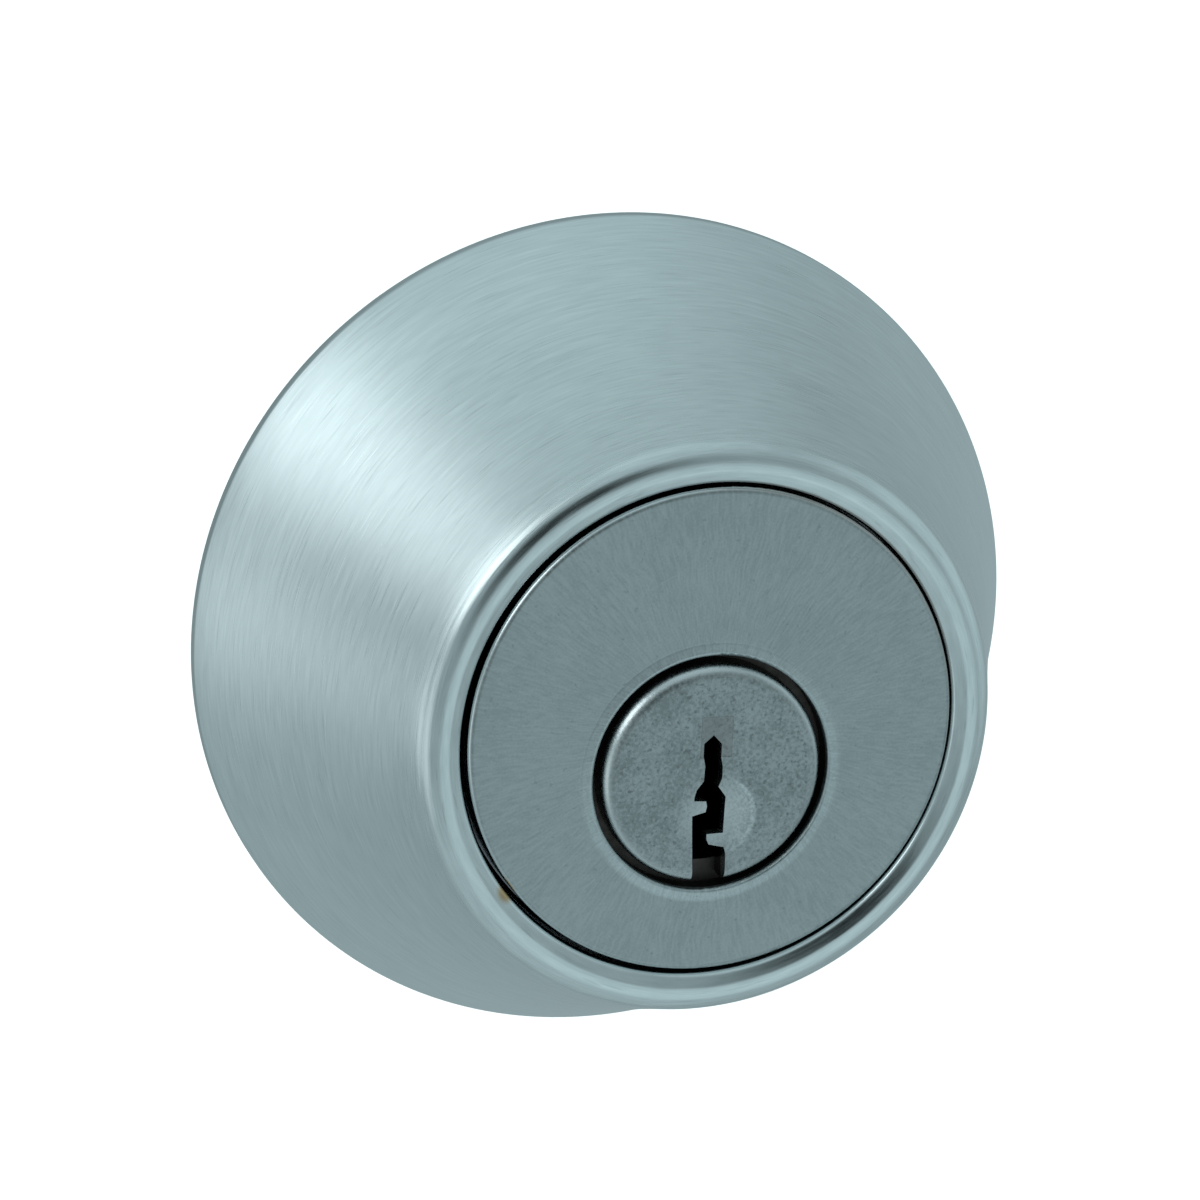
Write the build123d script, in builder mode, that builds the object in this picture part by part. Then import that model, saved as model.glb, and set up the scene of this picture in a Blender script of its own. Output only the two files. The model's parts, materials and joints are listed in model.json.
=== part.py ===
from build123d import *

import os

# Outside keyed unit of a single-cylinder deadbolt lock, in millimetres.
#
# Frame: the door's outer face is the plane y = 0. +Y points into the door, so the keyed face
# looks along -Y, and +Z is up. The origin is on the guard's axis, at the door face.
# A depth is a distance in front of the door face (y = -depth), so it is negative in the door.

# ---------------------------------------------------------------- driving dimensions
# Guard: a tapered shell of drawn brass sheet that spins freely round the cylinder
GUARD_R = 28.575  # outer radius at the door, for a 2 1/4 in diameter
GUARD_WALL = 0.60
GUARD_DOOR_GAP = 0.15  # the shell stops just short of the door, so it can spin
GUARD_FLANGE_FRONT = 20.45  # depth of the inner flange that holds the shell on
RIM_HEIGHT = 0.85  # straight band at the door, before the taper
RIM_BEND = 0.70
RIM_EDGE_RADIUS = 0.22
TAPER_BEND = 330.0  # the taper is very slightly hollow
TAPER_HOLLOW = 0.35  # how far it curves inwards, at the middle of its length
LIP_CREST = 23.81  # depth of the rolled lip that frames the face
LIP_BORE_R = 16.45
LIP_BORE_EDGE = 23.40  # where the lip's inner slope would meet its bore
LIP_SLOPE_R = 17.45  # where that slope would meet the crest
LIP_CORNER_R = 18.85  # where the taper would meet the crest, before it is rolled over
FLANGE_BEND = 0.30
LIP_INNER_BEND = 0.62
LIP_SLOPE_BEND = 0.70
LIP_SHOULDER_BEND = 1.70

# Face cap: the round face that the key goes through
FACE_R = 16.25
FACE_DEPTH = 23.68
FACE_HOLE_R = 7.90
FACE_EDGE_RADIUS = 0.40
FACE_BEAD = 0.12  # how far the rolled edge round the hole stands proud
FACE_BEAD_TOP = 0.26  # width of its top
FACE_BEAD_WIDTH = 0.85  # width at its foot
FACE_BEAD_RADIUS = 0.24
CAP_SEAT = 21.20  # depth of the cap's back face

# Plug: the barrel that the key turns, lower than the guard's axis
PLUG_Z = -2.75
PLUG_R = 6.35  # a half-inch plug
PLUG_HEAD_R = 7.36
PLUG_HEAD_THICKNESS = 2.00
PLUG_EDGE_RADIUS = 0.90
PLUG_FACE = 24.25
PLUG_BACK = -6.40
PLUG_CLEARANCE = 0.05
KEYWAY_BACK = -0.90

# Pin tumblers: five stacks of key pin, driver pin and spring
PIN_COUNT = 5
PIN_PITCH = 3.81
FIRST_PIN_FROM_FACE = 6.92
PIN_R = 1.46
CHAMBER_R = 1.54
KEY_PIN_TOP = 6.18  # height above the plug's axis
KEY_PIN_TIPS = (1.42, 0.25, 0.84, -0.33, 0.84)  # heights above the plug's axis, one a cut
KEY_PIN_TIP_R = 0.40
KEY_PIN_CROWN = 0.30  # height and width of the bevel at the top, which clears the bore
KEY_PIN_CROWN_WIDTH = 0.45
KEY_CHAMBER_FLOOR = -1.75
DRIVER_LENGTH = 4.20
SPRING_WIRE_R = 0.15
SPRING_TURNS = 6

# Cylinder housing: one zinc casting
SPIGOT_R = 15.00  # carries the guard's inner flange and the washers
BOSS_R = 13.00
BOSS_DEPTH = 22.30
SHOULDER_R = 18.00  # pulls the collar against the door
SHOULDER_FRONT = 19.20
SHOULDER_BACK = 17.60
SEAT_R = 16.40  # carries the collar
SEAT_BACK = 13.40
BARREL_R = 9.00
BARREL_BACK = -4.00
TOWER_HALF_WIDTH = 4.20
TOWER_TOP = 14.20
TOWER_BACK = -1.20
COVER_SEAT_Z = 12.60  # where the strip that closes the pin chambers lies
COVER_THICKNESS = 0.55
COVER_HALF_WIDTH = 1.90
COVER_OVERLAP = 0.30  # past the first and last chambers
CAST_EDGE = 0.35  # rounding of the casting's outer edges
TOWER_EDGE = 0.90

# Screw posts: two threaded columns for screws from the inside of the door
POST_X = 12.70
POST_R = 3.60
POST_BACK = -9.00
POST_THREAD_R = 1.90  # tapping radius of a No. 10-24 thread
POST_THREAD_LENGTH = 13.00
WEB_HALF_HEIGHT = 2.20
WEB_BACK = -2.00

# Collar: the hardened cone inside the guard, which bears on the door round the cross bore
COLLAR_FOOT_R = 27.55
COLLAR_TAPER = 0.4384  # loss of radius for each millimetre of depth
COLLAR_WALL = 2.20
COLLAR_FLANGE_THICKNESS = 2.00
COLLAR_SPIGOT_R = 26.70  # enters a cross bore 54 mm across
COLLAR_SPIGOT_WALL = 1.80
COLLAR_SPIGOT_LENGTH = 2.50

# Gaps, rings, washers and hardened pieces
BEARING_WASHER_R = 17.00
FREE_GAP = 0.05  # between faces that move or nearly touch
PRESS_GAP = 0.02  # between pressed pieces, in place of their interference
ASSEMBLY_GAP = 0.10  # round pieces that slide on at assembly
SLIP_GAP = 0.20  # round the guard's flange and the tailpiece's tab
EDGE_BREAK = 0.25
RING_THICKNESS = 1.00  # retaining ring behind the collar
RING_INNER_R = 15.65
RING_OUTER_R = 17.60
RING_OPENING = 7.00
CLIP_THICKNESS = 0.80  # clip behind the plug
CLIP_INNER_R = 5.55
CLIP_OUTER_R = 7.70
CLIP_OPENING = 5.60
SPRING_WASHER_SHEET = 0.25
DRILL_BALL_R = 2.00
DRILL_BALL_X = 9.60
DRILL_BALL_Z = 3.20
DRILL_BALL_DEPTH = 20.05
DRILL_PIN_R = 0.80
DRILL_PIN_X = 3.40
DRILL_PIN_DEPTH = 20.20
DRILL_PIN_LOW = -3.60
DRILL_PIN_HIGH = 4.90

# Keyway outline, in the plug's face from its axis: x right, z up, as seen from outside
KEYWAY_OUTLINE = (
    (-0.13, 2.77),
    (-0.76, 2.21),
    (-0.76, 1.37),
    (-0.61, 0.69),
    (-0.65, -0.32),
    (-1.08, -0.91),
    (-1.21, -1.41),
    (-1.21, -1.67),
    (-0.39, -1.73),
    (-0.31, -2.09),
    (-0.39, -2.47),
    (-1.29, -2.69),
    (-1.18, -5.54),
    (-1.03, -8.00),
    (1.13, -8.00),
    (1.05, -5.31),
    (0.94, -4.91),
    (-0.09, -4.67),
    (-0.25, -4.31),
    (-0.25, -3.97),
    (0.86, -3.94),
    (0.91, -1.48),
    (0.38, -0.76),
    (0.58, -0.21),
    (0.58, 0.57),
    (0.44, 1.25),
    (0.44, 2.15),
)
DISH_RADIUS = 30.0  # of the shallow dish ground round the keyway's mouth
DISH_DEPTH = 0.13
DISH_X = 0.17  # of the dish's middle, from the plug's axis
DISH_Z = -2.77

# Tailpiece: the blade that turns the bolt, with a quarter turn of lost motion in the plug
TAIL_HUB_R = 3.20
TAIL_TAB_R = 4.50
TAIL_HUB_FRONT = -2.70
TAIL_HUB_BACK = -5.20
TAIL_BLADE_R = 3.10
TAIL_FLAT = 1.10  # distance of the blade's flat from its axis
TAIL_TAB_PLAY = 0.10
TAIL_TIP = -56.00
TAIL_TIP_CHAMFER = 0.60
RETAINER_R = 5.20
RETAINER_THICKNESS = 1.00

# ---------------------------------------------------------------- values that follow
PIN_DEPTHS = [PLUG_FACE - FIRST_PIN_FROM_FACE - PIN_PITCH * n for n in range(PIN_COUNT)]
BORE_R = PLUG_R + PLUG_CLEARANCE
DRIVER_FOOT_Z = PLUG_Z + BORE_R
DRIVER_TOP_Z = DRIVER_FOOT_Z + DRIVER_LENGTH
PLUG_HEAD_BACK = PLUG_FACE - PLUG_HEAD_THICKNESS
COLLAR_FRONT = SHOULDER_BACK
COLLAR_FRONT_R = COLLAR_FOOT_R - COLLAR_TAPER * COLLAR_FRONT
COLLAR_FLANGE_BACK = COLLAR_FRONT - COLLAR_FLANGE_THICKNESS
GUARD_FLANGE_BACK = GUARD_FLANGE_FRONT - GUARD_WALL
GUARD_AXIS = Axis.Y
PLUG_AXIS = Axis((0, 0, PLUG_Z), (0, 1, 0))

os.makedirs("parts", exist_ok=True)


def section(z=0.0):
    """The plane of a turned profile: its x is the radius, its y is the depth."""
    return Plane(origin=(0, 0, z), x_dir=(1, 0, 0), z_dir=(0, 0, -1))


def facing(depth, z=0.0):
    """A plane parallel to the door at a depth, seen from outside: x right, y up."""
    return Plane(origin=(0, -depth, z), x_dir=(1, 0, 0), z_dir=(0, -1, 0))


def stack_axis(depth):
    """The upright axis of one pin stack."""
    return Axis((0, -depth, 0), (0, 0, 1))


def band(inner, outer, back, front):
    """Draws the section of a ring or disc, from radius to radius and depth to depth."""
    with Locations((inner, back)):
        Rectangle(outer - inner, front - back, align=(Align.MIN, Align.MIN))


def save(part, name):
    """Labels a finished piece and writes it as a STEP file of that name."""
    part.label = name
    export_step(part, f"parts/{name}.step")


# ---------------------------------------------------------------- guard
# One bent sheet: inner flange, bore of the lip, inner slope, rolled lip, taper and rim.
with BuildPart() as guard:
    with BuildSketch(section()):
        with BuildLine():
            taper_middle = (
                (LIP_CORNER_R + GUARD_R) / 2 - TAPER_HOLLOW,
                (LIP_CREST + RIM_HEIGHT) / 2 - TAPER_HOLLOW * COLLAR_TAPER,
            )
            bends = {
                (LIP_BORE_R, GUARD_FLANGE_FRONT): FLANGE_BEND,
                (LIP_BORE_R, LIP_BORE_EDGE): LIP_INNER_BEND,
                (LIP_SLOPE_R, LIP_CREST): LIP_SLOPE_BEND,
                (LIP_CORNER_R, LIP_CREST): LIP_SHOULDER_BEND,
                taper_middle: TAPER_BEND,
                (GUARD_R, RIM_HEIGHT): RIM_BEND,
            }
            sheet = FilletPolyline(
                (SPIGOT_R + SLIP_GAP, GUARD_FLANGE_FRONT),
                *bends.keys(),
                (GUARD_R, GUARD_DOOR_GAP),
                radius=tuple(bends.values()),
            )
            offset(sheet, amount=GUARD_WALL, side=Side.RIGHT)
        make_face()
    revolve(axis=GUARD_AXIS)
    rim_edges = guard.edges().filter_by(GeomType.CIRCLE).group_by(Axis.Y)[-1]
    fillet(rim_edges, radius=RIM_EDGE_RADIUS)
save(guard.part, "guard")

# ---------------------------------------------------------------- bearing and spring washers
# The guard's inner flange turns between these two.
with BuildPart() as bearing_washer:
    with BuildSketch(section()):
        washer_back = SHOULDER_FRONT + FREE_GAP
        washer_front = GUARD_FLANGE_BACK - FREE_GAP
        band(SPIGOT_R + ASSEMBLY_GAP, BEARING_WASHER_R, washer_back, washer_front)
    revolve(axis=GUARD_AXIS)
save(bearing_washer.part, "bearing_washer")

# A flat ring bowed about one diameter, so that it presses the flange lightly backwards.
with BuildPart() as spring_washer:
    with BuildSketch(facing(GUARD_FLANGE_FRONT)):
        Circle(FACE_R + ASSEMBLY_GAP)
        Circle(SPIGOT_R + ASSEMBLY_GAP, mode=Mode.SUBTRACT)
    extrude(amount=CAP_SEAT - GUARD_FLANGE_FRONT)
    with BuildSketch(Plane.XY.offset(-LIP_BORE_R)):
        with BuildLine():
            bow_ends = GUARD_FLANGE_FRONT + FREE_GAP
            bow_top = CAP_SEAT - FREE_GAP - SPRING_WASHER_SHEET
            bow = ThreePointArc(
                (-LIP_BORE_R, -bow_ends),
                (0, -bow_top),
                (LIP_BORE_R, -bow_ends),
            )
            offset(bow, amount=SPRING_WASHER_SHEET, side=Side.RIGHT)
        make_face()
    extrude(amount=2 * LIP_BORE_R, mode=Mode.INTERSECT)
save(spring_washer.part, "spring_washer")

# ---------------------------------------------------------------- collar
# Hardened cone with a flange that the housing's shoulder pulls on, a foot that bears on the
# door, and a spigot that centres it in the cross bore.
with BuildPart() as collar:
    with BuildSketch(section()):
        foot_inner = COLLAR_SPIGOT_R - COLLAR_SPIGOT_WALL
        flange_inner = COLLAR_FRONT_R - COLLAR_WALL + COLLAR_TAPER * COLLAR_FLANGE_THICKNESS
        Polygon(
            (SEAT_R + ASSEMBLY_GAP, COLLAR_FRONT),
            (COLLAR_FRONT_R, COLLAR_FRONT),
            (COLLAR_FOOT_R, 0),
            (COLLAR_SPIGOT_R, 0),
            (COLLAR_SPIGOT_R, -COLLAR_SPIGOT_LENGTH),
            (foot_inner, -COLLAR_SPIGOT_LENGTH),
            (foot_inner, 0),
            (flange_inner, COLLAR_FLANGE_BACK),
            (SEAT_R + ASSEMBLY_GAP, COLLAR_FLANGE_BACK),
            align=None,
        )
    revolve(axis=GUARD_AXIS)
    spigot_end = collar.edges().filter_by(GeomType.CIRCLE).group_by(Axis.Y)[-1]
    chamfer(spigot_end, length=EDGE_BREAK)
    foot_edge = collar.edges().filter_by(GeomType.CIRCLE).sort_by(SortBy.RADIUS)[-1]
    fillet(foot_edge, radius=EDGE_BREAK)
save(collar.part, "collar")

# Open ring in the housing's groove; it keeps the collar on the housing off the door.
with BuildPart() as retaining_ring:
    with BuildSketch(facing(COLLAR_FLANGE_BACK - FREE_GAP - RING_THICKNESS)):
        Circle(RING_OUTER_R)
        Circle(RING_INNER_R, mode=Mode.SUBTRACT)
        with Locations((0, -RING_INNER_R)):
            Rectangle(RING_OPENING, RING_INNER_R, mode=Mode.SUBTRACT)
    extrude(amount=RING_THICKNESS)
save(retaining_ring.part, "retaining_ring")

# ---------------------------------------------------------------- cylinder housing
with BuildPart() as cylinder_housing:
    # Round front end: boss in the cap, spigot, shoulder and collar seat
    with BuildSketch(section()):
        band(0, BOSS_R, CAP_SEAT, BOSS_DEPTH)
        band(0, SPIGOT_R, SHOULDER_FRONT, CAP_SEAT)
        band(0, SHOULDER_R, SHOULDER_BACK, SHOULDER_FRONT)
        band(0, SEAT_R, SEAT_BACK, SHOULDER_BACK)
    revolve(axis=GUARD_AXIS)
    shoulder_edges = cylinder_housing.edges().filter_by(GeomType.CIRCLE).sort_by(SortBy.RADIUS)[-2:]
    fillet(shoulder_edges, radius=CAST_EDGE)
    seat_end = cylinder_housing.edges().filter_by(GeomType.CIRCLE).group_by(Axis.Y)[-1]
    fillet(seat_end, radius=CAST_EDGE)

    # Barrel round the plug, and the tower that holds the pin stacks
    with BuildSketch(facing(BARREL_BACK)):
        with Locations((0, PLUG_Z)):
            Circle(BARREL_R)
    extrude(amount=SEAT_BACK - BARREL_BACK)
    barrel_end = cylinder_housing.edges().filter_by(GeomType.CIRCLE).group_by(Axis.Y)[-1]
    fillet(barrel_end, radius=CAST_EDGE)
    with BuildSketch(facing(TOWER_BACK)) as tower:
        with Locations((0, PLUG_Z)):
            Rectangle(2 * TOWER_HALF_WIDTH, TOWER_TOP - PLUG_Z, align=(Align.CENTER, Align.MIN))
        fillet(tower.vertices().group_by(Axis.Z)[-1], radius=TOWER_EDGE)
    extrude(amount=SEAT_BACK - TOWER_BACK)

    # Screw posts and the web that joins them to the barrel
    with BuildSketch(facing(POST_BACK)):
        with Locations((-POST_X, PLUG_Z), (POST_X, PLUG_Z)):
            Circle(POST_R)
    extrude(amount=SEAT_BACK - POST_BACK)
    post_ends = cylinder_housing.edges().filter_by(GeomType.CIRCLE).group_by(Axis.Y)[-1]
    fillet(post_ends, radius=CAST_EDGE)
    with BuildSketch(facing(WEB_BACK)):
        with Locations((0, PLUG_Z)):
            Rectangle(2 * POST_X, 2 * WEB_HALF_HEIGHT)
    extrude(amount=SEAT_BACK - WEB_BACK)

    # Plug bore and the recess for its head
    with BuildSketch(section(PLUG_Z)):
        band(0, BORE_R, BARREL_BACK, BOSS_DEPTH)
        band(0, FACE_HOLE_R, PLUG_HEAD_BACK - 2 * FREE_GAP, BOSS_DEPTH)
    revolve(axis=PLUG_AXIS, mode=Mode.SUBTRACT)

    # Groove for the retaining ring
    with BuildSketch(section()):
        groove_back = COLLAR_FLANGE_BACK - RING_THICKNESS - 2 * FREE_GAP
        band(RING_INNER_R - FREE_GAP, SHOULDER_R, groove_back, COLLAR_FLANGE_BACK)
    revolve(axis=GUARD_AXIS, mode=Mode.SUBTRACT)

    # Pin chambers, and the slot above them for the chamber cover
    with BuildSketch(Plane.XY.offset(PLUG_Z)):
        with Locations(*[(0, -depth) for depth in PIN_DEPTHS]):
            Circle(CHAMBER_R)
    extrude(amount=TOWER_TOP - PLUG_Z, mode=Mode.SUBTRACT)
    with BuildSketch(Plane.XY.offset(COVER_SEAT_Z)):
        slot_middle = (PIN_DEPTHS[0] + PIN_DEPTHS[-1]) / 2
        slot_length = PIN_DEPTHS[0] - PIN_DEPTHS[-1] + 2 * (CHAMBER_R + COVER_OVERLAP)
        with Locations((0, -slot_middle)):
            Rectangle(2 * COVER_HALF_WIDTH + 2 * FREE_GAP, slot_length)
    extrude(amount=SHOULDER_R, mode=Mode.SUBTRACT)

    # Pockets for the hardened balls, one each side above the plug
    with BuildSketch(facing(DRILL_BALL_DEPTH)):
        with Locations((-DRILL_BALL_X, DRILL_BALL_Z), (DRILL_BALL_X, DRILL_BALL_Z)):
            Circle(DRILL_BALL_R + FREE_GAP)
    extrude(amount=BOSS_DEPTH - DRILL_BALL_DEPTH, mode=Mode.SUBTRACT)
    with Locations(*[(x, -DRILL_BALL_DEPTH, DRILL_BALL_Z) for x in (-DRILL_BALL_X, DRILL_BALL_X)]):
        Sphere(DRILL_BALL_R + FREE_GAP, mode=Mode.SUBTRACT)

    # Threads of the screw posts, modelled as plain holes of the tapping size
    with BuildSketch(facing(POST_BACK)):
        with Locations((-POST_X, PLUG_Z), (POST_X, PLUG_Z)):
            Circle(POST_THREAD_R)
    extrude(amount=POST_THREAD_LENGTH, mode=Mode.SUBTRACT)
save(cylinder_housing.part, "cylinder_housing")

# ---------------------------------------------------------------- face cap
with BuildPart() as face_cap:
    with BuildSketch(section()):
        band(0, FACE_R, CAP_SEAT, FACE_DEPTH)
        with Locations((0, CAP_SEAT)):
            Rectangle(
                BOSS_R + FREE_GAP,
                BOSS_DEPTH + FREE_GAP - CAP_SEAT,
                align=(Align.MIN, Align.MIN),
                mode=Mode.SUBTRACT,
            )
    revolve(axis=GUARD_AXIS)
    face_edge = face_cap.edges().filter_by(GeomType.CIRCLE).group_by(Axis.Y)[0]
    fillet(face_edge, radius=FACE_EDGE_RADIUS)

    # Rolled bead round the hole, then the hole itself
    with BuildSketch(section(PLUG_Z)):
        Polygon(
            (PLUG_HEAD_R, BOSS_DEPTH + FREE_GAP),
            (FACE_HOLE_R + FACE_BEAD_WIDTH, BOSS_DEPTH + FREE_GAP),
            (FACE_HOLE_R + FACE_BEAD_WIDTH, FACE_DEPTH),
            (FACE_HOLE_R + FACE_BEAD_TOP, FACE_DEPTH + FACE_BEAD),
            (PLUG_HEAD_R, FACE_DEPTH + FACE_BEAD),
            align=None,
        )
    revolve(axis=PLUG_AXIS)
    with BuildSketch(facing(CAP_SEAT)):
        with Locations((0, PLUG_Z)):
            Circle(FACE_HOLE_R)
    extrude(amount=FACE_DEPTH, mode=Mode.SUBTRACT)
    front_edges = face_cap.edges().filter_by(GeomType.CIRCLE).group_by(Axis.Y)[0]
    fillet(front_edges.sort_by(SortBy.RADIUS)[0], radius=FACE_BEAD_RADIUS)
save(face_cap.part, "face_cap")

# ---------------------------------------------------------------- hardened balls
for side, x in (("left", -DRILL_BALL_X), ("right", DRILL_BALL_X)):
    with BuildPart() as drill_ball:
        with Locations((x, -DRILL_BALL_DEPTH, DRILL_BALL_Z)):
            Sphere(DRILL_BALL_R)
    save(drill_ball.part, f"drill_ball_{side}")

# ---------------------------------------------------------------- chamber cover
with BuildPart() as chamber_cover:
    with BuildSketch(Plane.XY.offset(COVER_SEAT_Z)):
        with Locations((0, -slot_middle)):
            Rectangle(2 * COVER_HALF_WIDTH, slot_length - 2 * FREE_GAP)
    extrude(amount=COVER_THICKNESS)
save(chamber_cover.part, "chamber_cover")

# ---------------------------------------------------------------- pin stacks
for number, (depth, tip) in enumerate(zip(PIN_DEPTHS, KEY_PIN_TIPS), start=1):
    # Key pin: a cone below that rides on the key, and a slightly domed top
    with BuildPart() as key_pin:
        with BuildSketch(facing(depth, PLUG_Z)):
            cone_height = PIN_R - KEY_PIN_TIP_R
            Polygon(
                (0, tip),
                (KEY_PIN_TIP_R, tip),
                (PIN_R, tip + cone_height),
                (PIN_R, KEY_PIN_TOP - KEY_PIN_CROWN),
                (PIN_R - KEY_PIN_CROWN_WIDTH, KEY_PIN_TOP),
                (0, KEY_PIN_TOP),
                align=None,
            )
        revolve(axis=stack_axis(depth))
    save(key_pin.part, f"key_pin_{number}")

    with BuildPart() as driver_pin:
        with BuildSketch(Plane.XY.offset(DRIVER_FOOT_Z)):
            with Locations((0, -depth)):
                Circle(PIN_R)
        extrude(amount=DRIVER_LENGTH)
        chamfer(driver_pin.edges().filter_by(GeomType.CIRCLE), length=EDGE_BREAK)
    save(driver_pin.part, f"driver_pin_{number}")

    with BuildPart() as pin_spring:
        spring_foot = DRIVER_TOP_Z + SPRING_WIRE_R + FREE_GAP
        spring_height = COVER_SEAT_Z - SPRING_WIRE_R - FREE_GAP - spring_foot
        with BuildLine():
            coil = Helix(
                pitch=spring_height / SPRING_TURNS,
                height=spring_height,
                radius=PIN_R - 2 * SPRING_WIRE_R,
                center=(0, -depth, spring_foot),
            )
        with BuildSketch(Plane(origin=coil @ 0, z_dir=coil % 0)):
            Circle(SPRING_WIRE_R)
        sweep(is_frenet=True)
    save(pin_spring.part, f"pin_spring_{number}")

# ---------------------------------------------------------------- plug
with BuildPart() as plug:
    with BuildSketch(section(PLUG_Z)):
        band(0, PLUG_R, PLUG_BACK, PLUG_HEAD_BACK)
        band(0, PLUG_HEAD_R, PLUG_HEAD_BACK, PLUG_FACE)
    revolve(axis=PLUG_AXIS)
    head_edge = plug.edges().filter_by(GeomType.CIRCLE).group_by(Axis.Y)[0]
    fillet(head_edge, radius=PLUG_EDGE_RADIUS)

    # A shallow dish round the keyway that guides the key in
    with Locations((DISH_X, -PLUG_FACE - DISH_RADIUS + DISH_DEPTH, PLUG_Z + DISH_Z)):
        Sphere(DISH_RADIUS, mode=Mode.SUBTRACT)

    # Keyway: a slot open at the bottom, with one ward on each side
    with BuildSketch(facing(KEYWAY_BACK, PLUG_Z)):
        Polygon(*KEYWAY_OUTLINE, align=None)
    extrude(amount=PLUG_FACE - KEYWAY_BACK, mode=Mode.SUBTRACT)

    # Chambers for the key pins
    with BuildSketch(Plane.XY.offset(PLUG_Z + KEY_CHAMBER_FLOOR)):
        with Locations(*[(0, -depth) for depth in PIN_DEPTHS]):
            Circle(CHAMBER_R)
    extrude(amount=2 * PLUG_R, mode=Mode.SUBTRACT)

    # Holes for the hardened pins, drilled down beside the keyway
    with BuildSketch(Plane.XY.offset(PLUG_Z + DRILL_PIN_LOW)):
        with Locations((-DRILL_PIN_X, -DRILL_PIN_DEPTH), (DRILL_PIN_X, -DRILL_PIN_DEPTH)):
            Circle(DRILL_PIN_R + PRESS_GAP)
    extrude(amount=2 * PLUG_R, mode=Mode.SUBTRACT)

    # Pocket for the tailpiece: its hub, and a half turn of room for its tab
    with BuildSketch(facing(PLUG_BACK, PLUG_Z)):
        Circle(TAIL_TAB_R + SLIP_GAP)
        with Locations((-TAIL_TAB_PLAY, 0)):
            Rectangle(2 * PLUG_R, 2 * PLUG_R, align=(Align.MIN, Align.CENTER), mode=Mode.INTERSECT)
        Circle(TAIL_HUB_R + FREE_GAP)
    extrude(amount=TAIL_HUB_FRONT + FREE_GAP - PLUG_BACK, mode=Mode.SUBTRACT)
    with BuildSketch(facing(PLUG_BACK, PLUG_Z)):
        Circle(RETAINER_R)
    extrude(amount=RETAINER_THICKNESS, mode=Mode.SUBTRACT)

    # Groove for the clip
    with BuildSketch(section(PLUG_Z)):
        clip_front = BARREL_BACK - FREE_GAP
        clip_back = clip_front - CLIP_THICKNESS
        band(CLIP_INNER_R - FREE_GAP, PLUG_HEAD_R, clip_back - FREE_GAP, BARREL_BACK)
    revolve(axis=PLUG_AXIS, mode=Mode.SUBTRACT)
save(plug.part, "plug")

for side, x in (("left", -DRILL_PIN_X), ("right", DRILL_PIN_X)):
    with BuildPart() as plug_drill_pin:
        with BuildSketch(Plane.XY.offset(PLUG_Z + DRILL_PIN_LOW + FREE_GAP)):
            with Locations((x, -DRILL_PIN_DEPTH)):
                Circle(DRILL_PIN_R)
        extrude(amount=DRILL_PIN_HIGH - DRILL_PIN_LOW)
    save(plug_drill_pin.part, f"plug_drill_pin_{side}")

# Open clip that keeps the plug from being pulled out of the front
with BuildPart() as plug_clip:
    with BuildSketch(facing(clip_back, PLUG_Z)):
        Circle(CLIP_OUTER_R)
        Circle(CLIP_INNER_R, mode=Mode.SUBTRACT)
        with Locations((0, CLIP_INNER_R)):
            Rectangle(CLIP_OPENING, CLIP_INNER_R, mode=Mode.SUBTRACT)
    extrude(amount=CLIP_THICKNESS)
save(plug_clip.part, "plug_clip")

# ---------------------------------------------------------------- tailpiece
with BuildPart() as tailpiece:
    with BuildSketch(facing(TAIL_HUB_BACK, PLUG_Z)):
        Circle(TAIL_TAB_R)
        Rectangle(2 * TAIL_TAB_R, 2 * TAIL_TAB_R, align=(Align.MIN, Align.MIN), mode=Mode.INTERSECT)
        Circle(TAIL_HUB_R)
    extrude(amount=TAIL_HUB_FRONT - TAIL_HUB_BACK)
    with BuildSketch(facing(TAIL_TIP, PLUG_Z)):
        Circle(TAIL_BLADE_R)
        with Locations((0, -TAIL_BLADE_R)):
            Rectangle(
                2 * TAIL_BLADE_R,
                TAIL_BLADE_R + TAIL_FLAT,
                align=(Align.CENTER, Align.MIN),
                mode=Mode.INTERSECT,
            )
    extrude(amount=TAIL_HUB_BACK - TAIL_TIP)
    tip_edges = tailpiece.edges().group_by(Axis.Y)[-1]
    chamfer(tip_edges, length=TAIL_TIP_CHAMFER)
save(tailpiece.part, "tailpiece")

with BuildPart() as tailpiece_retainer:
    with BuildSketch(facing(PLUG_BACK, PLUG_Z)):
        Circle(RETAINER_R - PRESS_GAP)
        Circle(TAIL_BLADE_R + FREE_GAP, mode=Mode.SUBTRACT)
    extrude(amount=RETAINER_THICKNESS)
save(tailpiece_retainer.part, "tailpiece_retainer")
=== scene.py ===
"""Looks of the outside keyed unit of a deadbolt lock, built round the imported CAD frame.

Everything is in metres, in the frame's own axes: -Y faces the person at the door, +Z is up.
"""

import json
import math

import bmesh
import bpy
from mathutils import Matrix, Vector


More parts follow.
